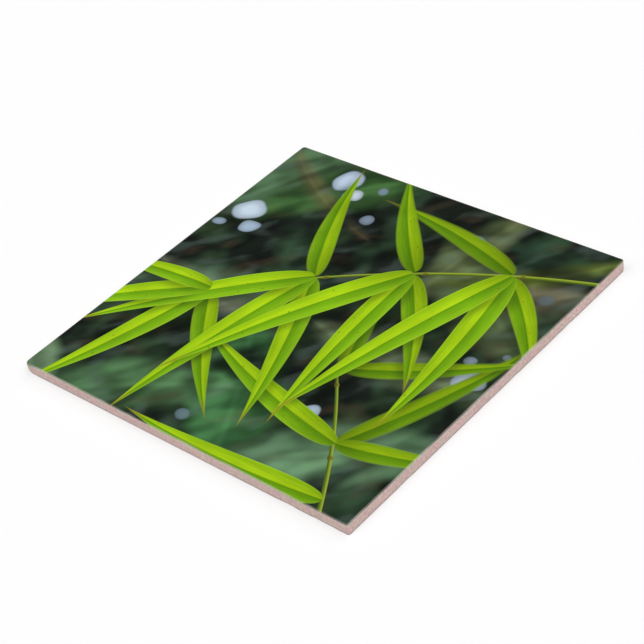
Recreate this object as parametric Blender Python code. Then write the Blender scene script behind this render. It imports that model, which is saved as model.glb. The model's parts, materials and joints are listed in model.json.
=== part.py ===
# Square picture tile, lying face up: a pressed clay body with a keyed back, under a printed glaze skin.
# Metres, +Z up. The origin is the middle of the back, and +X runs along the foot of the picture.
import math

import bmesh
import bpy
from mathutils import Vector

# Driving dimensions
SIDE = 0.1524  # 6 in over the edges
THICKNESS = 0.00476  # 3/16 in, from the back keys to the glaze
CORNER_RADIUS = 0.0012  # of the four corners, seen from above
GLAZE_THICKNESS = 0.0006  # glaze and its print coat, fired on as one skin
GLAZE_ARRIS = 0.00035  # the skin rounds over at its rim
SEAT_GAP = 0.0003  # left between the skin and the clay, so that the two solids stay apart
FOOT_ARRIS = 0.0004  # worn lower edge of the clay
KEY_PITCH = 0.015  # raised square keys on the back, for the adhesive
KEYS_PER_ROW = 9
GROOVE_MOUTH = 0.003
GROOVE_FLOOR = 0.0024
GROOVE_DEPTH = 0.0005

# Fineness of the rounded edges
CORNER_STEPS = 6
ARRIS_STEPS = 3
SMOOTH_UNDER = math.radians(35)

# Worked out from the sizes above
CLAY_TOP = THICKNESS - GLAZE_THICKNESS - SEAT_GAP
GLAZE_FOOT = THICKNESS - GLAZE_THICKNESS
GROOVE_COUNT = KEYS_PER_ROW + 1
KEYED_WIDTH = KEYS_PER_ROW * KEY_PITCH + GROOVE_MOUTH
BELOW_BACK = 0.001  # a groove cutter starts this far under the back


def clear_scene():
    for old in list(bpy.data.objects):
        bpy.data.objects.remove(old, do_unlink=True)


def finish_material(name, colour, roughness):
    material = bpy.data.materials.new(name)
    material.use_nodes = True
    shader = material.node_tree.nodes["Principled BSDF"]
    shader.inputs["Base Color"].default_value = (*colour, 1.0)
    shader.inputs["Roughness"].default_value = roughness
    shader.inputs["Metallic"].default_value = 0.0
    return material


def rounded_square(side, radius, steps):
    """Points round a square with arc corners, counter-clockwise from the corner at +X +Y."""
    reach = side / 2 - radius
    points = []
    for quarter, (across, along) in enumerate(((1, 1), (-1, 1), (-1, -1), (1, -1))):
        for step in range(steps + 1):
            turn = math.pi / 2 * (quarter + step / steps)
            points.append((across * reach + radius * math.cos(turn), along * reach + radius * math.sin(turn)))
    return points


def slab(name, low, high, arris, arris_on_top, material):
    """A rounded square plate between two heights, with one of its two rims rounded over."""
    shape = bmesh.new()
    outline = rounded_square(SIDE, CORNER_RADIUS, CORNER_STEPS)
    foot = shape.faces.new([shape.verts.new((x, y, low)) for x, y in outline])
    raised = bmesh.ops.extrude_face_region(shape, geom=[foot])
    moved = [item for item in raised["geom"] if isinstance(item, bmesh.types.BMVert)]
    bmesh.ops.translate(shape, verts=moved, vec=Vector((0, 0, high - low)))
    bmesh.ops.recalc_face_normals(shape, faces=shape.faces)
    rim_height = high if arris_on_top else low
    rim = [edge for edge in shape.edges if all(abs(v.co.z - rim_height) < arris / 10 for v in edge.verts)]
    bmesh.ops.bevel(shape, geom=rim, offset=arris, segments=ARRIS_STEPS, profile=0.5, affect="EDGES")
    mesh = bpy.data.meshes.new(name)
    shape.to_mesh(mesh)
    shape.free()
    mesh.shade_smooth()
    mesh.set_sharp_from_angle(angle=SMOOTH_UNDER)
    mesh.materials.append(material)
    plate = bpy.data.objects.new(name, mesh)
    bpy.context.scene.collection.objects.link(plate)
    return plate


def groove_cutter(name, turn):
    """A row of tapered bars across the back, repeated by an Array, that cuts the grooves of one direction."""
    shape = bmesh.new()
    first_groove = -KEY_PITCH * KEYS_PER_ROW / 2
    taper = (GROOVE_MOUTH - GROOVE_FLOOR) / 2 / GROOVE_DEPTH
    half_below = GROOVE_MOUTH / 2 + taper * BELOW_BACK
    section = (
        (-half_below, -BELOW_BACK),
        (half_below, -BELOW_BACK),
        (GROOVE_FLOOR / 2, GROOVE_DEPTH),
        (-GROOVE_FLOOR / 2, GROOVE_DEPTH),
    )
    end = shape.faces.new([shape.verts.new((first_groove + x, -KEYED_WIDTH / 2, z)) for x, z in section])
    run = bmesh.ops.extrude_face_region(shape, geom=[end])
    moved = [item for item in run["geom"] if isinstance(item, bmesh.types.BMVert)]
    bmesh.ops.translate(shape, verts=moved, vec=Vector((0, KEYED_WIDTH, 0)))
    bmesh.ops.recalc_face_normals(shape, faces=shape.faces)
    mesh = bpy.data.meshes.new(name)
    shape.to_mesh(mesh)
    shape.free()
    bars = bpy.data.objects.new(name, mesh)
    bpy.context.scene.collection.objects.link(bars)
    bars.rotation_euler = (0, 0, turn)
    bars.hide_render = True
    bars.display_type = "WIRE"
    repeat = bars.modifiers.new("grooves", "ARRAY")
    repeat.count = GROOVE_COUNT
    repeat.use_relative_offset = False
    repeat.use_constant_offset = True
    repeat.constant_offset_displace = (KEY_PITCH, 0, 0)
    return bars


def make_clay_body():
    """The pressed biscuit: bare pink clay, with square keys left standing between two sets of grooves."""
    clay = finish_material("bare_clay", (0.62, 0.46, 0.41), 0.85)
    body = slab("clay_body", 0.0, CLAY_TOP, FOOT_ARRIS, False, clay)
    for name, turn in (("grooves_along", 0.0), ("grooves_across", math.pi / 2)):
        cut = body.modifiers.new(name, "BOOLEAN")
        cut.operation = "DIFFERENCE"
        cut.solver = "EXACT"
        cut.object = groove_cutter(name, turn)
    return body


def make_printed_glaze():
    """The fired skin that holds the picture. It covers the whole face and rounds over at the rim."""
    glaze = finish_material("printed_glaze", (0.12, 0.22, 0.05), 0.12)
    return slab("printed_glaze", GLAZE_FOOT, THICKNESS, GLAZE_ARRIS, True, glaze)


def main():
    clear_scene()
    make_clay_body()
    make_printed_glaze()


main()
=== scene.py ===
# Square picture tile lying face up on a pale floor: a pressed clay body under a glossy printed glaze.
import json
import math

import bmesh
import bpy
from mathutils import Matrix, Vector, noise

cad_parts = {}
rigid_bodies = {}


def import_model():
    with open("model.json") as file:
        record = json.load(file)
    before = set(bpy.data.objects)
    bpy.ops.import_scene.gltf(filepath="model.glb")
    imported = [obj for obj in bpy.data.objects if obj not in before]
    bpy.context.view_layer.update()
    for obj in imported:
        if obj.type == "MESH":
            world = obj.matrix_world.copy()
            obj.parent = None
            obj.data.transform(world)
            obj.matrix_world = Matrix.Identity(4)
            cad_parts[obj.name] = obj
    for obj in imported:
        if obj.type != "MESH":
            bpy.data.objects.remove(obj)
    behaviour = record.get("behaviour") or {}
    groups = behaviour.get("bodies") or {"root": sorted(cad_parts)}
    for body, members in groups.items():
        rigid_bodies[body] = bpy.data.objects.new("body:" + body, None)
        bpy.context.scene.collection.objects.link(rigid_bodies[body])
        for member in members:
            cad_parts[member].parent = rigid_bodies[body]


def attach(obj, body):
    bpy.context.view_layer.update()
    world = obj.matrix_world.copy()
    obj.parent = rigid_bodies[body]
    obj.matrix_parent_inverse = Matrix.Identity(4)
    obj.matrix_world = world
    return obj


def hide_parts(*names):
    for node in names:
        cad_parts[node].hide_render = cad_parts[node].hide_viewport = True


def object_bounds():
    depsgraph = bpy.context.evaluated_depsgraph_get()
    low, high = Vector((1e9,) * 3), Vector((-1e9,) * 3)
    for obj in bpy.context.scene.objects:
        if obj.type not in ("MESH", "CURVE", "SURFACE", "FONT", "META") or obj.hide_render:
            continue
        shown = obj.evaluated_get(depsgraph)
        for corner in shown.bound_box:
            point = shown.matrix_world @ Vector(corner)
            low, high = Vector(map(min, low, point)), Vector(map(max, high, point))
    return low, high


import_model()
cadLow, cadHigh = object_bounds()
mm = 0.001
halfSide = (cadHigh.x - cadLow.x) / 2
tileHeight = cadHigh.z - cadLow.z
scene = bpy.context.scene


# Small helpers for node trees

def screen(red, green, blue):  # a colour in screen levels, 0 to 255, as the linear values that shaders use
    values = [level / 255 for level in (red, green, blue)]
    return (*[v / 12.92 if v <= 0.04045 else ((v + 0.055) / 1.055) ** 2.4 for v in values], 1.0)


def feed(tree, socket, value):  # links a socket, or types a plain value into it
    if isinstance(value, bpy.types.NodeSocket):
        tree.links.new(value, socket)
    else:
        socket.default_value = value


def feedAll(tree, node, values):  # values by the names of the node's inputs
    for label, value in values.items():
        feed(tree, node.inputs[label], value)


def calc(tree, operation, *values, clamp=False):
    node = tree.nodes.new("ShaderNodeMath")
    node.operation = operation
    node.use_clamp = clamp
    for socket, value in zip(node.inputs, values):
        feed(tree, socket, value)
    return node.outputs[0]


def product(tree, first, *others):
    result = first
    for value in others:
        result = calc(tree, "MULTIPLY", result, value)
    return result


def vectorCalc(tree, operation, *values):
    node = tree.nodes.new("ShaderNodeVectorMath")
    node.operation = operation
    for socket, value in zip(node.inputs, values):
        feed(tree, socket, value)
    return node.outputs["Value" if operation in ("LENGTH", "DISTANCE") else "Vector"]


def scaleVector(tree, vector, factor):
    node = tree.nodes.new("ShaderNodeVectorMath")
    node.operation = "SCALE"
    feed(tree, node.inputs[0], vector)
    feed(tree, node.inputs["Scale"], factor)
    return node.outputs[0]


def ramp(tree, value, low, high, toLow=0.0, toHigh=1.0, smooth=True):
    node = tree.nodes.new("ShaderNodeMapRange")
    node.interpolation_type = "SMOOTHSTEP" if smooth else "LINEAR"
    feedAll(tree, node, {"Value": value, "From Min": low, "From Max": high, "To Min": toLow, "To Max": toHigh})
    return node.outputs["Result"]


def mixColour(tree, factor, under, over, mode="MIX"):
    node = tree.nodes.new("ShaderNodeMix")
    node.data_type = "RGBA"
    node.blend_type = mode
    for number, given in ((0, factor), (6, under), (7, over)):  # the colour sockets of the Mix node
        feed(tree, node.inputs[number], given)
    return node.outputs[2]


def joinPlace(tree, x, y, z=0.0):
    node = tree.nodes.new("ShaderNodeCombineXYZ")
    for socket, value in zip(node.inputs, (x, y, z)):
        feed(tree, socket, value)
    return node.outputs[0]


def splitPlace(tree, place):
    node = tree.nodes.new("ShaderNodeSeparateXYZ")
    tree.links.new(place, node.inputs[0])
    return node.outputs


def shaded(tree, colour, tone):  # a colour made darker or lighter by a plain factor
    return mixColour(tree, 1.0, colour, joinPlace(tree, tone, tone, tone), "MULTIPLY")


def noiseOf(tree, place, scale, detail=2.0, roughness=0.5, dimensions="3D"):  # gives a value and a colour
    node = tree.nodes.new("ShaderNodeTexNoise")
    node.noise_dimensions = dimensions
    feedAll(tree, node, {"Vector": place, "Scale": scale, "Detail": detail, "Roughness": roughness})
    return node.outputs


def cellsOf(tree, place, scale, dimensions="3D"):  # gives the distance to a cell's middle and its colour
    node = tree.nodes.new("ShaderNodeTexVoronoi")
    node.voronoi_dimensions = dimensions
    feedAll(tree, node, {"Vector": place, "Scale": scale})
    return node.outputs


def strayed(tree, place, noises, reach):  # a flat place led off its way by a noise, by up to half the reach
    centred = vectorCalc(tree, "SUBTRACT", noises["Color"], (0.5, 0.5, 0.5))
    return vectorCalc(tree, "MULTIPLY_ADD", centred, (reach, reach, 0.0), place)


def furthestOut(tree, axes):  # how far from the middle along X or Y, whichever is more
    return calc(tree, "MAXIMUM", calc(tree, "ABSOLUTE", axes[0]), calc(tree, "ABSOLUTE", axes[1]))


def awayFromStep(tree, turns, step):  # how far from the nearest whole turn, as a length
    off = calc(tree, "SUBTRACT", turns, calc(tree, "ROUND", turns))
    return calc(tree, "MULTIPLY", calc(tree, "ABSOLUTE", off), step)


def newGroup(name, inputs, outputs, kind="ShaderNodeTree"):
    # An input is given as its kind of socket, or for a number as the value that it starts with.
    # Returns the tree, its inputs by name and its output sockets.
    tree = bpy.data.node_groups.new(name, kind)
    for label, given in inputs.items():
        isKind = isinstance(given, str)
        socketType = "NodeSocket" + (given if isKind else "Float")
        socket = tree.interface.new_socket(label, in_out="INPUT", socket_type=socketType)
        if not isKind:
            socket.default_value = given
    for label, socketKind in outputs.items():
        tree.interface.new_socket(label, in_out="OUTPUT", socket_type="NodeSocket" + socketKind)
    enter = tree.nodes.new("NodeGroupInput")
    leave = tree.nodes.new("NodeGroupOutput")
    return tree, enter.outputs, leave.inputs


def placeGroup(tree, group, values):
    node = tree.nodes.new("ShaderNodeGroup")
    node.node_tree = group
    feedAll(tree, node, values)
    return node.outputs


# The plates' meshes

# Wear of the corners, by the signs of x and y: the radius, what is added to it at the very foot and how far
# up that goes, and what is added at the very top and how far down that goes
cornerWear = {
    (1, -1): {"radius": 0.9 * mm, "foot": 0.0, "footUp": 1.0 * mm, "top": 0.0, "topDown": 1.0 * mm},
    (1, 1): {"radius": 1.0 * mm, "foot": 1.4 * mm, "footUp": 1.6 * mm, "top": 0.0, "topDown": 1.0 * mm},
    (-1, -1): {"radius": 0.7 * mm, "foot": 3.2 * mm, "footUp": 2.3 * mm, "top": 1.5 * mm, "topDown": 1.5 * mm},
    (-1, 1): {"radius": 1.2 * mm, "foot": 1.2 * mm, "footUp": 1.5 * mm, "top": 0.3 * mm, "topDown": 0.8 * mm},
}
widestCorner = max(wear["radius"] + max(wear["foot"], wear["top"]) for wear in cornerWear.values())
plateGrid = {
    "cornerSteps": 8,  # grid lines from where the corners begin to the border
    "fixedMargin": 0.2 * mm,  # the grid keeps its lines straight up to this much before the widest corner
    "leastRadius": 0.1 * mm,
}
# Where the broad face with its rim and the hidden cap lie on the bake map, as shares of the map
plateMap = {"face": {"span": 0.955, "middle": 0.482}, "cap": {"span": 0.028, "middle": 0.98}}


def cornerRadius(x, y, height):
    wear = cornerWear[(1 if x > 0 else -1, 1 if y > 0 else -1)]
    low = max(0.0, 1 - height / wear["footUp"])
    high = min(1.0, max(0.0, 1 - (tileHeight - height) / wear["topDown"]))
    atFoot = wear["foot"] * (1 - math.sqrt(1 - low * low))
    atTop = wear["top"] * (1 - math.sqrt(1 - high * high))
    return wear["radius"] + atFoot + atTop


def roundedSpot(x, y, half, radius):  # squeezes a square's corner into an arc; also gives the spot it is round
    reach = half - radius
    inner = Vector((max(-reach, min(reach, x)), max(-reach, min(reach, y))))
    out = Vector((x, y)) - inner
    if out.x and out.y:
        out *= max(abs(out.x), abs(out.y)) / out.length
    return inner + out, inner


def plateMesh(name, lines, rim, broadUp, material):
    # A closed plate: one broad face gridded by the same lines both ways, a rim rolled down or up from it, and a
    # flat cap. rim lists (how far outside the broad face, height), starting with the broad face's own border.
    half, count = lines[-1], len(lines)
    outermost, broadHeight = rim[-1][0], rim[0][1]
    fixed = half + outermost - widestCorner - plateGrid["fixedMargin"]  # the grid is stretched only beyond this
    order = 1 if broadUp else -1
    shape = bmesh.new()
    unrolled = {}  # each vertex's place on the flat map of the broad face and rim

    def placed(x, y, out, height):
        grown = (half + out - fixed) / (half - fixed)
        x, y = [math.copysign(fixed + (abs(v) - fixed) * grown, v) if abs(v) > fixed else v for v in (x, y)]
        radius = max(plateGrid["leastRadius"], cornerRadius(x, y, height) - (outermost - out))
        return roundedSpot(x, y, half + out, radius)

    # Broad face
    rows = []
    for y in lines:
        row = []
        for x in lines:
            spot, inner = placed(x, y, 0.0, broadHeight)
            vertex = shape.verts.new((spot.x, spot.y, broadHeight))
            unrolled[vertex] = spot
            row.append(vertex)
        rows.append(row)
    for j in range(count - 1):
        for i in range(count - 1):
            shape.faces.new((rows[j][i], rows[j][i + 1], rows[j + 1][i + 1], rows[j + 1][i])[::order])

    # Rim, one ring after another
    last = count - 1
    walk = [(i, 0) for i in range(last)] + [(last, j) for j in range(last)]
    walk += [(i, last) for i in range(last, 0, -1)] + [(0, j) for j in range(last, 0, -1)]
    border = [rows[j][i] for i, j in walk]
    outward = []
    for i, j in walk:
        spot, inner = placed(lines[i], lines[j], 0.0, broadHeight)
        outward.append((spot - inner).normalized())
    ring, travelled = border, 0.0
    for (outBefore, heightBefore), (out, height) in zip(rim, rim[1:]):
        travelled += math.hypot(out - outBefore, height - heightBefore)
        above = []
        for (i, j), vertex, away in zip(walk, border, outward):
            spot, inner = placed(lines[i], lines[j], out, height)
            new = shape.verts.new((spot.x, spot.y, height))
            unrolled[new] = vertex.co.xy + away * travelled
            above.append(new)
        for k in range(len(ring)):
            after = (k + 1) % len(ring)
            shape.faces.new((ring[k], above[k], above[after], ring[after])[::order])
        ring = above
    cap = shape.faces.new(ring[::-order])

    # Map and shading
    mapLayer = shape.loops.layers.uv.new("OFBake")
    span = 2 * (half + travelled)
    for face in shape.faces:
        face.smooth = True
        patch = plateMap["cap" if face is cap else "face"]
        middle = Vector((patch["middle"], patch["middle"]))
        for loop in face.loops:
            spot = loop.vert.co.xy if face is cap else unrolled[loop.vert]
            loop[mapLayer].uv = spot / span * patch["span"] + middle
    mesh = bpy.data.meshes.new(name)
    shape.to_mesh(mesh)
    shape.free()
    mesh.materials.append(material)
    plate = bpy.data.objects.new(name, mesh)
    scene.collection.objects.link(plate)
    return plate


def plainCopy(plate, name):  # the evaluated plate as a plain mesh, with no modifier left on it
    evaluated = plate.evaluated_get(bpy.context.evaluated_depsgraph_get())
    mesh = bpy.data.meshes.new_from_object(evaluated)
    bpy.data.objects.remove(plate)
    mesh.name = name
    piece = bpy.data.objects.new(name, mesh)
    scene.collection.objects.link(piece)
    return piece


def arc(outStart, outEnd, heightStart, heightEnd, steps):  # a quarter round from the broad face to the wall
    points = []
    for step in range(steps + 1):
        turn = math.pi / 2 * step / steps
        out = outStart + (outEnd - outStart) * math.sin(turn)
        height = heightEnd + (heightStart - heightEnd) * math.cos(turn)
        points.append((out, height))
    return points


# Clay body

clayBody = {
    "keyPitch": 15 * mm,
    "keysPerRow": 9,
    "grooveMouth": 3.0 * mm,
    "grooveFloor": 2.4 * mm,
    "grooveDepth": 0.5 * mm,
    "grooveLines": (0.0, 0.6, 0.98, 1.14, 1.27, 1.4, 1.53, 1.7),  # grid lines, in mm from a groove's middle
    "keyLinesStart": 2.55 * mm,  # from the groove's middle to the first even line across a key
    "keySteps": 7,
    "marginSteps": 5,  # from the last groove to where the corners begin
    "keyWear": 0.16 * mm,  # softens the edges of the keys
    "keyWobble": 0.12 * mm,  # pressed clay is never quite straight
    "wobbleScale": 140.0,
    "backReach": 0.1 * mm,  # what lies lower than this is the back
    "footArris": 0.26 * mm,
    "footSteps": 4,
    "wallStep": 0.47,  # mm between the rings up the sides
    "wallSteps": 7,
    "top": 4.36 * mm,  # where the glaze starts
    "sideDepth": 0.9 * mm,  # what lies further out than this much inside the edge is a side
    "sideRough": 0.045 * mm,
    "sideRoughScale": 420.0,
    "footChips": 0.22 * mm,
    "footChipsScale": 110.0,
    "footHeight": 1.3 * mm,  # how far up the worn nicks go
    "seed": 7,
}


def keyedBackTree():
    # Geometry Nodes: sinks the grid of grooves that leaves the square keys standing, and roughens the sides
    size = clayBody
    lengths = (
        "Key Pitch", "Groove Mouth", "Groove Floor", "Groove Depth", "Keyed Reach", "Key Wear", "Key Wobble",
        "Plate Reach", "Side Rough", "Foot Chips", "Foot Height",
    )
    inputs = {"Plate": "Geometry"} | dict.fromkeys(lengths, mm) | {"Seed": "Int", "Clay": "Material"}
    tree, given, result = newGroup("keyedBack", inputs, {"Plate": "Geometry"}, "GeometryNodeTree")
    position = tree.nodes.new("GeometryNodeInputPosition").outputs[0]
    axes = splitPlace(tree, position)
    seedShift = joinPlace(tree, calc(tree, "MULTIPLY", given["Seed"], 3.7), 0.0, 0.0)
    noisePlace = vectorCalc(tree, "ADD", position, seedShift)
    wobble = noiseOf(tree, noisePlace, size["wobbleScale"])
    centred = vectorCalc(tree, "SUBTRACT", wobble["Color"], (0.5, 0.5, 0.5))
    shaky = splitPlace(tree, vectorCalc(tree, "ADD", position, scaleVector(tree, centred, given["Key Wobble"])))
    wearBefore = calc(tree, "MULTIPLY", given["Key Wear"], -1.0)

    def keyed(value):  # 1 within the square of keys, 0 on the plain margin round it
        left = calc(tree, "SUBTRACT", given["Keyed Reach"], calc(tree, "ABSOLUTE", value))
        return ramp(tree, left, wearBefore, given["Key Wear"])

    def grooveAcross(along, across):  # 1 in the grooves that cross this axis, 0 on the keys and the margin
        pitches = calc(tree, "DIVIDE", calc(tree, "ABSOLUTE", along), given["Key Pitch"])
        away = awayFromStep(tree, calc(tree, "SUBTRACT", pitches, 0.5), given["Key Pitch"])
        halfMouth = calc(tree, "MULTIPLY_ADD", given["Groove Mouth"], 0.5, given["Key Wear"])
        halfFloor = calc(tree, "MULTIPLY", given["Groove Floor"], 0.5)
        sunk = ramp(tree, away, halfMouth, calc(tree, "SUBTRACT", halfFloor, given["Key Wear"]))
        return product(tree, sunk, keyed(across), keyed(along))

    # 1 on the columns and on the rows of keys, 0 between them; a key stands where both are 1
    columns = calc(tree, "SUBTRACT", 1.0, grooveAcross(shaky[0], shaky[1]))
    rows = calc(tree, "SUBTRACT", 1.0, grooveAcross(shaky[1], shaky[0]))
    depth = calc(tree, "SUBTRACT", 1.0, calc(tree, "MULTIPLY", columns, rows))
    onBack = calc(tree, "LESS_THAN", axes[2], size["backReach"])
    depth = product(tree, depth, given["Groove Depth"], onBack)
    keys = tree.nodes.new("GeometryNodeSetPosition")
    feedAll(tree, keys, {"Geometry": given["Plate"], "Offset": joinPlace(tree, 0.0, 0.0, depth)})

    # Sides: a fine unevenness all over, and worn nicks low down
    fine = noiseOf(tree, noisePlace, size["sideRoughScale"], 3.0)[0]
    coarse = noiseOf(tree, noisePlace, size["footChipsScale"])[0]
    low = ramp(tree, axes[2], given["Foot Height"], 0.0)
    nicks = calc(tree, "MULTIPLY", ramp(tree, coarse, 0.56, 0.72), low)
    inward = calc(tree, "MULTIPLY", fine, given["Side Rough"])
    inward = calc(tree, "MULTIPLY_ADD", nicks, given["Foot Chips"], inward)
    sideStart = calc(tree, "SUBTRACT", given["Plate Reach"], size["sideDepth"])
    onSide = calc(tree, "GREATER_THAN", furthestOut(tree, axes), sideStart)
    normal = tree.nodes.new("GeometryNodeInputNormal").outputs[0]
    level = vectorCalc(tree, "NORMALIZE", vectorCalc(tree, "MULTIPLY", normal, (1.0, 1.0, 0.0)))
    pulled = scaleVector(tree, level, product(tree, inward, onSide, -1.0))
    sides = tree.nodes.new("GeometryNodeSetPosition")
    feedAll(tree, sides, {"Geometry": keys.outputs[0], "Offset": pulled})
    real = tree.nodes.new("GeometryNodeRealizeInstances")
    tree.links.new(sides.outputs[0], real.inputs[0])
    finish = tree.nodes.new("GeometryNodeSetMaterial")
    feedAll(tree, finish, {"Geometry": real.outputs[0], "Material": given["Clay"]})
    tree.links.new(finish.outputs[0], result[0])
    return tree


def setModifierInputs(modifier, values):  # a modifier's inputs go by their sockets' identifiers
    for item in modifier.node_group.interface.items_tree:
        if item.item_type == "SOCKET" and item.in_out == "INPUT" and item.name in values:
            modifier[item.identifier] = values[item.name]


def clayLines(size):  # grid lines of the back: close together at a groove's sides and near the corners
    half = halfSide - size["footArris"]
    reach = size["keysPerRow"] * size["keyPitch"] / 2
    keySpan = size["keyPitch"] - 2 * size["keyLinesStart"]
    lines = set()
    for k in range(size["keysPerRow"] + 1):
        middle = -reach + k * size["keyPitch"]
        for away in size["grooveLines"]:
            lines.update((middle - away * mm, middle + away * mm))
        if k < size["keysPerRow"]:
            for step in range(size["keySteps"] + 1):
                lines.add(middle + size["keyLinesStart"] + step * keySpan / size["keySteps"])
    start = reach + size["grooveLines"][-1] * mm
    cornerStart = halfSide - widestCorner
    for side in (-1, 1):
        for step in range(1, size["marginSteps"]):
            lines.add(side * (start + step * (cornerStart - start) / size["marginSteps"]))
        for step in range(plateGrid["cornerSteps"] + 1):
            lines.add(side * (cornerStart + (half - cornerStart) * step / plateGrid["cornerSteps"]))
    return sorted(lines)


def makeClayBody(clay):
    size = clayBody
    foot = size["footArris"]
    wall = [(foot, foot + step * size["wallStep"] * mm) for step in range(1, size["wallSteps"] + 1)]
    rim = arc(0.0, foot, 0.0, foot, size["footSteps"]) + wall + [(foot, size["top"])]
    plate = plateMesh("clayPlate", clayLines(size), rim, False, clay)
    nodes = plate.modifiers.new("keyedBack", "NODES")
    nodes.node_group = keyedBackTree()
    setModifierInputs(nodes, {
        "Key Pitch": size["keyPitch"],
        "Groove Mouth": size["grooveMouth"],
        "Groove Floor": size["grooveFloor"],
        "Groove Depth": size["grooveDepth"],
        "Keyed Reach": (size["keysPerRow"] * size["keyPitch"] + size["grooveMouth"]) / 2,
        "Key Wear": size["keyWear"],
        "Key Wobble": size["keyWobble"],
        "Plate Reach": halfSide,
        "Side Rough": size["sideRough"],
        "Foot Chips": size["footChips"],
        "Foot Height": size["footHeight"],
        "Seed": size["seed"],
        "Clay": clay,
    })
    piece = plainCopy(plate, "pressedClay")
    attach(piece, "root")
    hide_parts("clay_body")
    print("clay body:", len(piece.data.polygons), "faces")
    return piece


# Glaze skin

glazeSkin = {
    "top": tileHeight,
    "foot": clayBody["top"],
    "arris": 0.3 * mm,
    "arrisSteps": 5,
    "lineStep": 2.0 * mm,
    "swell": 0.02 * mm,  # the fired surface is never dead flat
    "swellLength": 26 * mm,
}


def makeGlazeSkin(glaze):
    size = glazeSkin
    top, arris = size["top"], size["arris"]
    half = halfSide - arris
    cornerStart = halfSide - widestCorner
    steps = round(2 * cornerStart / size["lineStep"])
    lines = [-cornerStart + 2 * cornerStart * step / steps for step in range(steps + 1)]
    for step in range(1, plateGrid["cornerSteps"] + 1):
        further = (half - cornerStart) * step / plateGrid["cornerSteps"]
        lines += [cornerStart + further, -cornerStart - further]
    rim = arc(0.0, arris, top, top - arris, size["arrisSteps"]) + [(arris, size["foot"])]
    piece = plateMesh("printedGlaze", sorted(lines), rim, True, glaze)
    for vertex in piece.data.vertices:
        if vertex.co.z > top - arris / 2:
            sway = noise.noise(vertex.co / size["swellLength"]) * 0.5 + 0.5
            vertex.co.z -= size["swell"] * sway
    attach(piece, "root")
    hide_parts("printed_glaze")
    print("glaze skin:", len(piece.data.polygons), "faces")
    return piece


# The picture: long bamboo leaves on two twigs before a soft dark ground. Places are in mm from the middle.

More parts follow.
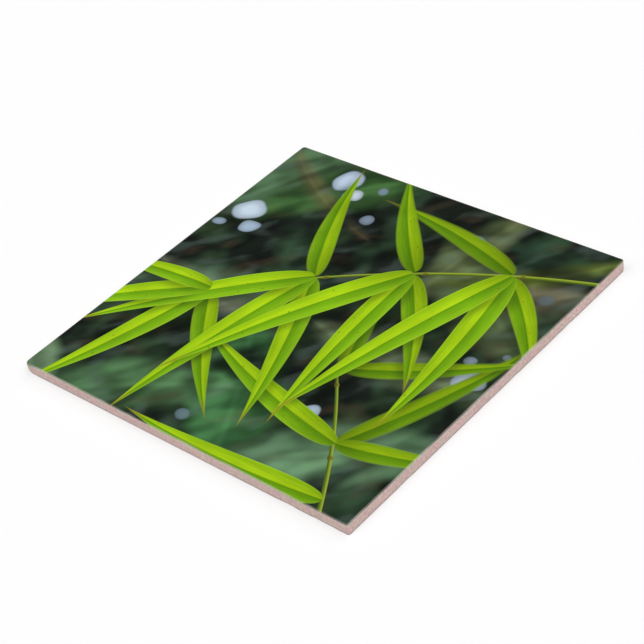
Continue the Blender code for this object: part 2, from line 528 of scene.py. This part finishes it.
picture = {
    "lightFrom": 120,  # degrees; the half of each leaf that faces this way is the bright one
    "ground": {
        "dark": screen(19, 25, 20),
        "mossy": screen(48, 64, 36),
        "bluish": screen(40, 66, 52),
        "mottleScale": 0.05,
        "hueScale": 0.03,
    },
    # broad leaves far out of focus: base x, y, heading, length, width, bend, softness in mm, colour, amount
    "farLeaves": [
        (-84, 22, 58, 92, 34, 0.14, 4.5, (74, 104, 72), 0.85),
        (-12, 84, 214, 78, 30, 0.2, 5.0, (60, 97, 51), 0.85),
        (-84, -34, 38, 74, 26, -0.18, 5.0, (92, 118, 92), 0.7),
        (84, 14, 158, 82, 30, -0.16, 4.5, (86, 103, 69), 0.8),
        (22, -86, 112, 84, 34, 0.16, 4.0, (62, 110, 65), 0.9),
        (-62, -86, 40, 76, 26, -0.14, 4.5, (78, 116, 76), 0.8),
        (86, -34, 206, 84, 30, 0.14, 4.0, (98, 135, 99), 0.85),
        (34, 86, 250, 66, 18, 0.2, 4.0, (98, 110, 72), 0.65),
        (80, 78, 236, 70, 11, -0.3, 3.0, (88, 103, 39), 0.8),
        (-80, 76, 318, 74, 9, 0.25, 2.5, (96, 87, 56), 0.55),
        (2, -6, 348, 76, 18, 0.2, 4.5, (112, 127, 95), 0.65),
        (40, 20, 52, 54, 15, -0.2, 4.5, (132, 127, 100), 0.5),
        (-76, -6, 340, 60, 13, 0.2, 4.0, (128, 131, 109), 0.45),
        (-96, -58, 318, 46, 22, 0.1, 3.0, (98, 124, 92), 0.85),
    ],
    # deep shade between them: centre x, y, reach along, reach across, turn, softness, colour, amount
    "blurs": [
        (-4, -34, 40, 9, 24, 0.75, (16, 22, 20), 0.9),
        (-40, 36, 34, 9, 44, 0.75, (18, 22, 22), 0.85),
        (44, 26, 34, 9, 62, 0.75, (16, 20, 18), 0.85),
        (72, 60, 26, 11, 20, 0.8, (24, 30, 26), 0.8),
        (-62, -20, 30, 8, 12, 0.75, (20, 26, 24), 0.8),
        (56, -66, 26, 10, 60, 0.75, (26, 31, 31), 0.85),
        (12, 68, 26, 8, -20, 0.75, (20, 24, 20), 0.75),
    ],
    "blurStray": 24.0,  # in mm, how far the outlines of the shade wander in all
    "undergrowth": {
        "turn": 52,
        "scale": 0.06,
        "drawnOut": 1.9,
        "brown": screen(88, 74, 56),
        "pale": screen(112, 132, 124),
    },
    # round spots of sky between far leaves: centre x, y, radius, stretch, turn, softness, colour, amount
    "glints": [
        (-66, 33, 7.8, 0.8, 40, 0.18, (200, 216, 230), 0.97),
        (-59, 25, 5.0, 0.8, 20, 0.2, (168, 188, 208), 0.9),
        (-72, 22, 3.0, 0.9, 60, 0.24, (150, 168, 186), 0.8),
        (-44, 66, 7.6, 0.75, 70, 0.2, (190, 208, 228), 0.95),
        (-36, 60, 4.6, 0.8, 30, 0.22, (204, 218, 232), 0.85),
        (-27, 67, 2.8, 0.9, 0, 0.3, (128, 146, 164), 0.75),
        (-21, 49, 3.6, 0.85, 10, 0.26, (140, 158, 176), 0.7),
        (68, -4, 6.6, 0.75, 25, 0.2, (192, 208, 226), 0.93),
        (62, 5, 3.2, 0.85, 0, 0.26, (132, 150, 160), 0.75),
        (72, 12, 2.2, 0.9, 0, 0.3, (120, 136, 142), 0.6),
        (30, -44, 5.4, 0.7, 55, 0.2, (182, 204, 218), 0.9),
        (23, 60, 4.0, 0.8, 10, 0.3, (122, 142, 146), 0.65),
        (66, 44, 3.8, 0.85, 10, 0.5, (92, 106, 112), 0.65),
        (-6, -66, 3.4, 0.85, 0, 0.3, (110, 134, 140), 0.65),
    ],
    "glintEdge": {"tint": screen(84, 98, 118), "shade": 0.45, "stray": 2.4, "strayScale": 0.1},
    # start x, y, heading, length, width, bend
    "twigs": [
        (70, -86, 118, 78, 2.0, 0.12),
        (84, 62, 196, 150, 2.2, 0.25),
    ],
    "twigTints": {"light": screen(150, 168, 52), "shady": screen(70, 92, 24), "ring": screen(96, 74, 34)},
    "ringStep": 35.0,
    # base x, y, heading, length, width, bend, glow, softness of the outline in mm
    "leaves": [
        (49, -50, 62, 84, 11, 0.12, 0.56, 1.6),
        (27, -20, 24, 68, 10, 0.16, 0.60, 1.4),
        (49, -50, 10, 52, 10, 0.14, 0.66, 1.2),
        (27, -20, 116, 42, 9, -0.18, 0.58, 1.4),
        (49, -50, 172, 88, 12, -0.14, 0.84, 0.5),
        (62, -72, 188, 88, 12, -0.12, 0.92, 0.4),
        (47, 50, 160, 70, 11, 0.16, 0.60, 1.5),
        (15, 34, 138, 62, 11, -0.14, 0.66, 1.2),
        (-16, 14, 124, 66, 11, -0.18, 0.72, 0.9),
        (47, 48, 322, 60, 11, -0.18, 0.72, 0.9),
        (-46, -10, 304, 72, 11, 0.14, 0.76, 0.7),
        (15, 32, 314, 64, 11, -0.14, 0.72, 0.8),
        (-16, 13, 298, 80, 12, -0.10, 0.86, 0.5),
        (47, 49, 282, 88, 13, -0.12, 0.90, 0.4),
        (15, 33, 270, 88, 12, 0.08, 0.94, 0.35),
        (-16, 14, 256, 94, 13, 0.08, 0.98, 0.3),
        (47, 49, 250, 102, 14, 0.08, 1.0, 0.25),
        (-46, -10, 258, 80, 13, -0.10, 1.0, 0.25),
        (15, 33, 234, 98, 14, 0.14, 1.02, 0.25),
        (-16, 14, 218, 90, 13, 0.14, 1.02, 0.25),
        (-46, -10, 212, 72, 12, 0.14, 1.0, 0.25),
        (-46, -10, 180, 56, 10, 0.14, 0.94, 0.3),
    ],
    "leafTints": {
        "dimMiddle": screen(104, 158, 12),
        "dimEdge": screen(136, 186, 26),
        "brightMiddle": screen(170, 208, 22),
        "brightEdge": screen(146, 190, 18),
        "rib": screen(66, 118, 8),
        "rim": screen(176, 208, 60),
        "dryTip": screen(156, 128, 40),
        "shadow": screen(18, 34, 12),
    },
    "freckles": {"tint": screen(112, 84, 20), "scale": 0.17, "share": 0.3, "least": 0.035, "most": 0.085},
}

markInputs = {"Under": "Color", "Place": "Vector"}
bladeInputs = markInputs | {"Base": "Vector", "Heading": 0.0, "Length": 80.0, "Width": 12.0, "Bend": 0.0}


def placeAfter(tree, given):
    # Adds next to nothing of the colour below to the place. A mark then waits for the one under it, and the
    # renderer holds the values of one mark at a time; without it they outgrow the memory that a material has.
    return vectorCalc(tree, "MULTIPLY_ADD", given["Under"], (1e-9, 1e-9, 1e-9), given["Place"])


def turnedPlace(tree, place, turn):  # place in axes turned by an angle in radians
    node = tree.nodes.new("ShaderNodeVectorRotate")
    node.rotation_type = "Z_AXIS"
    feedAll(tree, node, {"Vector": place, "Angle": calc(tree, "MULTIPLY", turn, -1.0)})
    return node.outputs[0]


def softSpotGroup():  # one out-of-focus patch laid over what is under it
    inputs = markInputs | {
        "Centre": "Vector", "Turn": 0.0, "Reach": "Vector", "Softness": 0.5, "Tint": "Color", "Amount": 1.0,
        "Edge Shade": 0.0,
    }
    tree, given, result = newGroup("softSpot", inputs, {"Colour": "Color"})
    off = vectorCalc(tree, "SUBTRACT", placeAfter(tree, given), given["Centre"])
    turned = turnedPlace(tree, off, given["Turn"])
    away = vectorCalc(tree, "LENGTH", vectorCalc(tree, "DIVIDE", turned, given["Reach"]))
    mask = ramp(tree, away, 1.0, calc(tree, "SUBTRACT", 1.0, given["Softness"]))
    mask = calc(tree, "MULTIPLY", mask, given["Amount"])
    shade = calc(tree, "MULTIPLY", ramp(tree, away, 0.25, 0.95), given["Edge Shade"])
    tint = mixColour(tree, shade, given["Tint"], picture["glintEdge"]["tint"])
    tree.links.new(mixColour(tree, mask, given["Under"], tint), result[0])
    return tree


def bladeAxes(tree, given):  # how far along the blade, from 0 to 1, and how far off its bent middle, in mm
    off = vectorCalc(tree, "SUBTRACT", placeAfter(tree, given), given["Base"])
    turned = splitPlace(tree, turnedPlace(tree, off, given["Heading"]))
    along = calc(tree, "DIVIDE", turned[0], given["Length"])
    sag = product(tree, along, turned[0], given["Bend"])
    return along, calc(tree, "SUBTRACT", turned[1], sag)


def insideBlade(tree, given, along, within, halfWidth, off):  # mm inside a blade's outline, less than 0 outside
    beyond = calc(tree, "ABSOLUTE", calc(tree, "SUBTRACT", along, within))
    beyond = calc(tree, "MULTIPLY", beyond, given["Length"])
    return calc(tree, "SUBTRACT", calc(tree, "SUBTRACT", halfWidth, off), beyond)


def farLeafGroup():  # a broad leaf so far out of focus that only its lens shape and a pale rib are left
    inputs = bladeInputs | {"Softness": 3.0, "Tint": "Color", "Amount": 1.0}
    tree, given, result = newGroup("farLeaf", inputs, {"Colour": "Color"})
    along, across = bladeAxes(tree, given)
    within = calc(tree, "MAXIMUM", calc(tree, "MINIMUM", along, 1.0), 0.0)
    swell = calc(tree, "POWER", calc(tree, "SINE", calc(tree, "MULTIPLY", within, math.pi)), 0.8)
    halfWidth = product(tree, swell, given["Width"], 0.5)
    off = calc(tree, "ABSOLUTE", across)
    reachIn = calc(tree, "DIVIDE", insideBlade(tree, given, along, within, halfWidth, off), given["Softness"])
    mask = calc(tree, "MULTIPLY", ramp(tree, reachIn, -0.9, 1.1), given["Amount"])
    tone = ramp(tree, calc(tree, "DIVIDE", across, given["Width"]), -0.5, 0.5, 0.62, 1.3)
    rib = ramp(tree, calc(tree, "DIVIDE", off, given["Softness"]), 0.55, 0.0, 0.0, 0.28)
    leaf = shaded(tree, given["Tint"], calc(tree, "ADD", tone, rib))
    tree.links.new(mixColour(tree, mask, given["Under"], leaf), result[0])
    return tree


def undergrowthGroup():  # soft light and shade drawn out one way all through the ground, with two tints in it
    looks = picture["undergrowth"]
    tree, given, result = newGroup("undergrowth", markInputs, {"Colour": "Color"})
    turned = turnedPlace(tree, placeAfter(tree, given), math.radians(looks["turn"]))
    drawn = vectorCalc(tree, "MULTIPLY", turned, (1.0, looks["drawnOut"], 0.0))
    patches = noiseOf(tree, drawn, looks["scale"], 1.5, 0.4, "2D")
    shares = splitPlace(tree, patches["Color"])
    colour = shaded(tree, given["Under"], ramp(tree, shares[0], 0.3, 0.7, 0.56, 1.26))
    colour = mixColour(tree, ramp(tree, shares[1], 0.54, 0.76, 0.0, 0.2), colour, looks["brown"])
    colour = mixColour(tree, ramp(tree, shares[2], 0.54, 0.76, 0.0, 0.18), colour, looks["pale"])
    tree.links.new(colour, result[0])
    return tree


def leafGroup():  # one folded, long leaf with its veins, and the soft shade it throws on what is under it
    tints = picture["leafTints"]
    inputs = bladeInputs | {"Lit Side": 1.0, "Glow": 1.0, "Mottle": 0.5, "Outline": 0.25}
    tree, given, result = newGroup("longLeaf", inputs, {"Colour": "Color"})
    along, across = bladeAxes(tree, given)
    within = calc(tree, "MAXIMUM", calc(tree, "MINIMUM", along, 1.0), 0.0)
    toTip = calc(tree, "SUBTRACT", 1.0, within)
    swell = calc(tree, "MULTIPLY", calc(tree, "POWER", within, 0.42), calc(tree, "POWER", toTip, 1.15))
    halfWidth = product(tree, swell, given["Width"], 1.08)
    off = calc(tree, "ABSOLUTE", across)
    reachIn = calc(tree, "DIVIDE", insideBlade(tree, given, along, within, halfWidth, off), given["Outline"])
    mask = ramp(tree, reachIn, -0.35, 0.65)

    # Shade on what is under: a soft copy a little to one side, faded out at both ends
    aside = calc(tree, "MULTIPLY", given["Lit Side"], 1.6)
    shadeOff = calc(tree, "ABSOLUTE", calc(tree, "ADD", across, aside))
    shade = ramp(tree, calc(tree, "SUBTRACT", shadeOff, halfWidth), 3.4, -1.6)
    ends = calc(tree, "MULTIPLY", ramp(tree, along, 0.02, 0.16), ramp(tree, along, 1.0, 0.8))
    under = mixColour(tree, product(tree, shade, ends, 0.42), given["Under"], tints["shadow"])

    # The two halves either side of the fold
    share = calc(tree, "DIVIDE", across, calc(tree, "MAXIMUM", halfWidth, 0.05))
    half = ramp(tree, calc(tree, "MULTIPLY", share, given["Lit Side"]), -0.07, 0.07)
    shareOff = calc(tree, "ABSOLUTE", share)
    dim = mixColour(tree, ramp(tree, shareOff, 0.0, 1.0), tints["dimMiddle"], tints["dimEdge"])
    bright = mixColour(tree, ramp(tree, shareOff, 0.1, 0.9), tints["brightMiddle"], tints["brightEdge"])
    leaf = mixColour(tree, half, dim, bright)

    # Fine veins side by side, and fibres drawn out along the leaf
    veins = calc(tree, "SINE", calc(tree, "MULTIPLY", shareOff, 34.0))
    fibreAlong, fibreAcross = calc(tree, "MULTIPLY", along, 5.0), calc(tree, "MULTIPLY", share, 5.0)
    fibres = noiseOf(tree, joinPlace(tree, fibreAlong, fibreAcross, given["Heading"]), 1.4, 2.0, 0.6)[0]
    tone = calc(tree, "MULTIPLY_ADD", veins, 0.03, 1.0)
    tone = calc(tree, "MULTIPLY_ADD", calc(tree, "SUBTRACT", fibres, 0.5), 0.5, tone)
    tone = calc(tree, "MULTIPLY_ADD", calc(tree, "SUBTRACT", given["Mottle"], 0.5), 0.35, tone)
    tone = product(tree, tone, ramp(tree, along, -0.1, 0.3, 0.62, 1.0), given["Glow"])
    leaf = shaded(tree, leaf, tone)

    # Midrib, lighter rim and dry tip
    leaf = mixColour(tree, ramp(tree, off, 0.42, 0.1, 0.0, 0.55), leaf, tints["rib"])
    leaf = mixColour(tree, ramp(tree, shareOff, 0.86, 1.0, 0.0, 0.35), leaf, tints["rim"])
    leaf = mixColour(tree, ramp(tree, along, 0.84, 1.0, 0.0, 0.85), leaf, tints["dryTip"])
    tree.links.new(mixColour(tree, mask, under, leaf), result[0])
    return tree


def twigGroup():  # a thin round stem with rings where its leaves join
    tints = picture["twigTints"]
    tree, given, result = newGroup("twig", bladeInputs | {"Ring Step": 35.0}, {"Colour": "Color"})
    along, across = bladeAxes(tree, given)
    inRange = calc(tree, "MULTIPLY", ramp(tree, along, 0.0, 0.01), ramp(tree, along, 1.0, 0.99))
    thinned = calc(tree, "MULTIPLY", given["Width"], ramp(tree, along, 0.0, 1.0, 0.5, 0.3, False))
    distance = calc(tree, "MULTIPLY", along, given["Length"])
    off = awayFromStep(tree, calc(tree, "DIVIDE", distance, given["Ring Step"]), given["Ring Step"])
    ring = ramp(tree, off, 1.4, 0.3)
    halfWidth = calc(tree, "MULTIPLY_ADD", ring, 0.35, thinned)
    reachIn = calc(tree, "SUBTRACT", halfWidth, calc(tree, "ABSOLUTE", across))
    mask = calc(tree, "MULTIPLY", calc(tree, "DIVIDE", reachIn, 0.2, clamp=True), inRange)
    share = calc(tree, "DIVIDE", across, halfWidth)
    stem = mixColour(tree, ramp(tree, share, -0.9, 0.7), tints["light"], tints["shady"])
    stem = mixColour(tree, calc(tree, "MULTIPLY", ring, 0.6), stem, tints["ring"])
    tree.links.new(mixColour(tree, mask, given["Under"], stem), result[0])
    return tree


def freckleGroup():  # sparse small brown spots, on the lime leaves only
    looks = picture["freckles"]
    tree, given, result = newGroup("freckles", markInputs, {"Colour": "Color"})
    cells = cellsOf(tree, placeAfter(tree, given), looks["scale"], "2D")
    chance = splitPlace(tree, cells["Color"])
    reach = ramp(tree, chance[1], 0.0, 1.0, looks["least"], looks["most"])
    dot = ramp(tree, cells["Distance"], reach, calc(tree, "MULTIPLY", reach, 0.4))
    under = splitPlace(tree, given["Under"])
    onLeaf = ramp(tree, calc(tree, "SUBTRACT", under[1], under[2]), 0.16, 0.28, 0.0, 0.7)
    dot = product(tree, dot, calc(tree, "LESS_THAN", chance[0], looks["share"]), onLeaf)
    tree.links.new(mixColour(tree, dot, given["Under"], looks["tint"]), result[0])
    return tree


def pictureColour(tree, place):  # the whole printed picture, from the ground up to the nearest leaf
    flat = vectorCalc(tree, "MULTIPLY", place, (1 / mm, 1 / mm, 0.0))
    ground, glintEdge = picture["ground"], picture["glintEdge"]
    mottle = noiseOf(tree, flat, ground["mottleScale"], dimensions="2D")[0]
    drift = noiseOf(tree, flat, ground["hueScale"], dimensions="2D")
    ripple = noiseOf(tree, flat, glintEdge["strayScale"], 0.0, dimensions="2D")
    loose = strayed(tree, flat, drift, picture["blurStray"])
    uneven = strayed(tree, flat, ripple, glintEdge["stray"])
    hue = mixColour(tree, drift[0], ground["mossy"], ground["bluish"])
    colour = mixColour(tree, ramp(tree, mottle, 0.38, 0.7), ground["dark"], hue)

    def lay(group, where, values):  # one more mark over the colour so far
        return placeGroup(tree, group, {"Under": colour, "Place": where} | values)[0]

    softSpot, farLeaf = softSpotGroup(), farLeafGroup()
    for x, y, heading, length, width, bend, softness, tint, amount in picture["farLeaves"]:
        colour = lay(farLeaf, flat, {
            "Base": (x, y, 0), "Heading": math.radians(heading), "Length": length, "Width": width, "Bend": bend,
            "Softness": softness, "Tint": screen(*tint), "Amount": amount,
        })
    for x, y, along, across, turn, softness, tint, amount in picture["blurs"]:
        colour = lay(softSpot, loose, {
            "Centre": (x, y, 0), "Turn": math.radians(turn), "Reach": (along, across, 1), "Softness": softness,
            "Tint": screen(*tint), "Amount": amount,
        })
    colour = lay(undergrowthGroup(), flat, {})
    for x, y, radius, stretch, turn, softness, tint, amount in picture["glints"]:
        colour = lay(softSpot, uneven, {
            "Centre": (x, y, 0), "Turn": math.radians(turn), "Reach": (radius, radius * stretch, 1),
            "Softness": softness, "Tint": screen(*tint), "Amount": amount, "Edge Shade": glintEdge["shade"],
        })
    leaf, twig = leafGroup(), twigGroup()
    for x, y, heading, length, width, bend in picture["twigs"]:
        colour = lay(twig, flat, {
            "Base": (x, y, 0), "Heading": math.radians(heading), "Length": length, "Width": width, "Bend": bend,
            "Ring Step": picture["ringStep"],
        })
    for x, y, heading, length, width, bend, glow, outline in picture["leaves"]:
        facing = math.cos(math.radians(heading + 90 - picture["lightFrom"]))
        colour = lay(leaf, flat, {
            "Base": (x, y, 0), "Heading": math.radians(heading), "Length": length, "Width": width, "Bend": bend,
            "Lit Side": 1.0 if facing > 0 else -1.0, "Glow": glow, "Mottle": mottle, "Outline": outline,
        })
    return lay(freckleGroup(), flat, {})


# Materials

def newMaterial(name):
    material = bpy.data.materials.new(name)
    material.use_nodes = True
    return material, material.node_tree, material.node_tree.nodes["Principled BSDF"]


def addBump(tree, shader, height, strength, distance):
    node = tree.nodes.new("ShaderNodeBump")
    feedAll(tree, node, {"Height": height, "Strength": strength, "Distance": distance})
    tree.links.new(node.outputs[0], shader.inputs["Normal"])


def grainGroup():  # clay-like unevenness: a broad mottle, a fine grain, and sparse specks
    inputs = {
        "Place": "Vector", "Broad Scale": 90.0, "Fine Scale": 1500.0, "Speck Scale": 900.0, "Speck Share": 0.1,
    }
    tree, given, result = newGroup("grain", inputs, {"Broad": "Float", "Fine": "Float", "Specks": "Float"})
    tree.links.new(noiseOf(tree, given["Place"], given["Broad Scale"], 3.0, 0.6)[0], result["Broad"])
    tree.links.new(noiseOf(tree, given["Place"], given["Fine Scale"], 3.0, 0.65)[0], result["Fine"])
    cells = cellsOf(tree, given["Place"], given["Speck Scale"])
    chosen = calc(tree, "LESS_THAN", splitPlace(tree, cells["Color"])[0], given["Speck Share"])
    dot = ramp(tree, cells["Distance"], 0.42, 0.2)
    tree.links.new(calc(tree, "MULTIPLY", chosen, dot), result["Specks"])
    return tree


clayLooks = {
    "grain": {"Broad Scale": 330.0, "Fine Scale": 1000.0, "Speck Scale": 800.0, "Speck Share": 0.05},
    "cloudScale": 60.0,
    "pink": screen(204, 172, 169),
    "buff": screen(198, 178, 168),
    "specks": screen(168, 136, 120),
    "sideFrom": 1.6 * mm,  # inside the edge, where the back turns into the side
    "sideTo": 0.5 * mm,
    # the height where it begins, the height where it is full, its amount there, colour
    "stainsAndShade": {
        # painted shade: the sides darken towards the foot, where the shadow gap under the tile falls
        "paintedFootShade": (1.2 * mm, 0.0, 0.9, screen(146, 138, 134)),
        # painted shade: the sunk grooves of the back are made darker and pinker
        "grooves": (0.12 * mm, 0.46 * mm, 0.5, screen(176, 132, 122)),
        "kilnDust": (0.2 * mm, 0.04 * mm, 1.0, screen(226, 216, 208)),
        "paleTop": (4.1 * mm, 4.3 * mm, 0.35, screen(220, 207, 197)),
        "thinRun": (1.6 * mm, 2.8 * mm, 0.85, screen(176, 173, 160)),
        "printRun": (3.3 * mm, 4.2 * mm, 0.85, screen(106, 120, 100)),
    },
    "runFrom": 6 * mm,  # from the corner where the print ran down
    "runTo": 1.5 * mm,
    "bumpStrength": 0.35,
    "bumpDistance": 0.2 * mm,
    "specular": 0.25,
}


def makeClayMaterial(grains):
    looks = clayLooks
    material, tree, shader = newMaterial("bareClay")
    place = tree.nodes.new("ShaderNodeTexCoord").outputs["Object"]
    axes = splitPlace(tree, place)
    found = placeGroup(tree, grains, {"Place": place} | looks["grain"])

    # The clay itself
    colour = mixColour(tree, ramp(tree, found["Broad"], 0.38, 0.62), looks["pink"], looks["buff"])
    clouds = ramp(tree, noiseOf(tree, place, looks["cloudScale"])[0], 0.3, 0.7, 0.96, 1.04)
    colour = shaded(tree, colour, product(tree, ramp(tree, found["Fine"], 0.3, 0.7, 0.83, 1.13), clouds))
    colour = mixColour(tree, calc(tree, "MULTIPLY", found["Specks"], 0.55), colour, looks["specks"])

    def stainOrShade(under, name, *masks):  # the colour so far with one stain or one band of painted shade on it, where all the masks let it
        begins, full, amount, tint = looks["stainsAndShade"][name]
        mask = product(tree, ramp(tree, axes[2], begins, full, 0.0, amount), *masks)
        return mixColour(tree, mask, under, tint)

    # Painted shade at the foot and in the grooves, dust, and the pale line under the glaze
    onSide = ramp(tree, furthestOut(tree, axes), halfSide - looks["sideFrom"], halfSide - looks["sideTo"])
    onBack = calc(tree, "SUBTRACT", 1.0, onSide)
    # painted shade low on the sides, at the foot
    colour = stainOrShade(colour, "paintedFootShade", onSide)
    # painted shade in the grooves of the back
    colour = stainOrShade(colour, "grooves", onBack)
    colour = stainOrShade(colour, "kilnDust", ramp(tree, found["Broad"], 0.38, 0.6, 0.15, 0.6), onBack)
    colour = stainOrShade(colour, "paleTop")

    # Print that ran down the most worn corner: thinly at first, and thick under the edge
    level = vectorCalc(tree, "MULTIPLY", place, (1.0, 1.0, 0.0))
    fromCorner = vectorCalc(tree, "DISTANCE", level, (-halfSide, -halfSide, 0.0))
    nearCorner = ramp(tree, fromCorner, looks["runFrom"], looks["runTo"])
    colour = stainOrShade(colour, "thinRun", nearCorner)
    colour = stainOrShade(colour, "printRun", nearCorner)

    tree.links.new(colour, shader.inputs["Base Color"])
    tree.links.new(ramp(tree, found["Fine"], 0.3, 0.7, 0.78, 0.96), shader.inputs["Roughness"])
    relief = calc(tree, "SUBTRACT", found["Fine"], calc(tree, "MULTIPLY", found["Specks"], 0.6))
    addBump(tree, shader, relief, looks["bumpStrength"], looks["bumpDistance"])
    shader.inputs["Specular IOR Level"].default_value = looks["specular"]
    return material


glazeLooks = {
    "grain": {"Broad Scale": 40.0, "Fine Scale": 420.0, "Speck Scale": 500.0, "Speck Share": 0.004},
    # pale rim: thinner print, and a painted highlight along the rounded edge
    "paleRimAndHighlight": screen(206, 200, 186),
    "rimFrom": 0.7 * mm,  # inside the edge
    "rimTo": 0.02 * mm,
    "rimAmount": 0.42,
    "runFrom": 8 * mm,  # from the corner where the print reaches further over the edge
    "runTo": 2 * mm,
    "runReach": 0.4 * mm,
    "bumpStrength": 0.12,
    "bumpDistance": 0.1 * mm,
    "ior": 1.5,
}


def makeGlazeMaterial(grains):
    looks = glazeLooks
    material, tree, shader = newMaterial("printedGlaze")
    place = tree.nodes.new("ShaderNodeTexCoord").outputs["Object"]
    colour = pictureColour(tree, place)
    found = placeGroup(tree, grains, {"Place": place} | looks["grain"])

    # The print thins out at the rim, except at one corner; the pale rim is also a painted highlight along the
    # rounded edge
    fromCorner = vectorCalc(tree, "DISTANCE", place, (-halfSide, -halfSide, tileHeight))
    further = ramp(tree, fromCorner, looks["runFrom"], looks["runTo"], 0.0, looks["runReach"])
    out = calc(tree, "SUBTRACT", furthestOut(tree, splitPlace(tree, place)), further)
    rim = ramp(tree, out, halfSide - looks["rimFrom"], halfSide - looks["rimTo"], 0.0, looks["rimAmount"])
    rim = calc(tree, "MULTIPLY", rim, ramp(tree, found["Broad"], 0.42, 0.62, 0.25, 1.0))

    # thinned print and painted edge highlight at the rim
    tree.links.new(mixColour(tree, rim, colour, looks["paleRimAndHighlight"]), shader.inputs["Base Color"])
    tree.links.new(ramp(tree, found["Broad"], 0.3, 0.7, 0.06, 0.13), shader.inputs["Roughness"])
    relief = calc(tree, "SUBTRACT", found["Fine"], found["Specks"])
    addBump(tree, shader, relief, looks["bumpStrength"], looks["bumpDistance"])
    shader.inputs["IOR"].default_value = looks["ior"]
    return material


# Floor, light and camera

white = (1.0, 1.0, 1.0, 1.0)
studio = {
    "floorReach": 8.0,
    "floorLevel": -0.01 * mm,
    "floorSides": 96,
    "backdropHeight": 0.9,  # a low pale wall round the floor, so that a low view has no dark horizon
    "floorColour": (0.5, 0.5, 0.5, 1.0),
    "floorGlow": 0.44,  # a light table: half of its brightness comes from within, so shadows on it are faint
    "floorRoughness": 0.9,
    "skyStrength": 0.05,
    # name, azimuth it comes from, elevation, angular size, strength
    "suns": [
        ("fromRight", 75, 52, 52, 1.71),
        ("fromLeft", -30, 52, 52, 1.39),
        ("fromBehind", 160, 52, 52, 1.06),
    ],
}

cameraPlace = {
    "aim": (0.0039, -0.0048, 0.0048),
    "azimuth": 48.28,
    "elevation": 38.28,
    "distance": 0.6417,
    "roll": 11.70,
    "lens": 102.04,
    "sensor": 36,
    "clipStart": 0.01,
    "clipEnd": 50,
}


def direction(azimuth, elevation):  # azimuth 0 is the -Y side and 90 the +X side
    a, e = math.radians(azimuth), math.radians(elevation)
    return Vector((math.sin(a) * math.cos(e), -math.cos(a) * math.cos(e), math.sin(e)))


def makeFloor():
    material, tree, shader = newMaterial("paleFloor")
    shader.inputs["Base Color"].default_value = studio["floorColour"]
    shader.inputs["Emission Color"].default_value = white
    shader.inputs["Emission Strength"].default_value = studio["floorGlow"]
    shader.inputs["Roughness"].default_value = studio["floorRoughness"]
    shader.inputs["Specular IOR Level"].default_value = 0.0
    reach, tall, level = studio["floorReach"], studio["backdropHeight"], studio["floorLevel"]
    sides = studio["floorSides"]
    bpy.ops.mesh.primitive_circle_add(vertices=sides, radius=reach, fill_type="NGON", location=(0, 0, level))
    floor = bpy.context.object
    floor.name = "floor"
    bpy.ops.mesh.primitive_cylinder_add(
        vertices=sides, radius=reach, depth=tall, end_fill_type="NOTHING", location=(0, 0, level + tall / 2),
    )
    backdrop = bpy.context.object
    backdrop.name = "backdrop"
    for part in (floor, backdrop):
        part.data.materials.append(material)


def makeLights():
    world = bpy.data.worlds.new("studioSky")
    world.use_nodes = True
    sky = world.node_tree.nodes["Background"]
    sky.inputs["Color"].default_value = white
    sky.inputs["Strength"].default_value = studio["skyStrength"]
    scene.world = world
    for name, azimuth, elevation, size, strength in studio["suns"]:
        light = bpy.data.lights.new(name, "SUN")
        light.energy = strength
        light.angle = math.radians(size)
        lamp = bpy.data.objects.new(name, light)
        lamp.rotation_mode = "QUATERNION"
        lamp.rotation_quaternion = direction(azimuth, elevation).to_track_quat("Z", "Y")
        scene.collection.objects.link(lamp)


def makeCamera():
    data = bpy.data.cameras.new("camera")
    data.lens = cameraPlace["lens"]
    data.sensor_width = cameraPlace["sensor"]
    data.clip_start = cameraPlace["clipStart"]
    data.clip_end = cameraPlace["clipEnd"]
    camera = bpy.data.objects.new("camera", data)
    back = direction(cameraPlace["azimuth"], cameraPlace["elevation"])
    roll = Matrix.Rotation(-math.radians(cameraPlace["roll"]), 3, "Z")
    turn = back.to_track_quat("Z", "Y").to_matrix() @ roll
    place = Vector(cameraPlace["aim"]) + back * cameraPlace["distance"]
    camera.matrix_world = Matrix.Translation(place) @ turn.to_4x4()
    scene.collection.objects.link(camera)
    scene.camera = camera


scene.view_settings.view_transform = "Standard"
makeCamera()
grains = grainGroup()
makeClayBody(makeClayMaterial(grains))
makeGlazeSkin(makeGlazeMaterial(grains))
makeFloor()
makeLights()
print("floor, lights and camera: done")
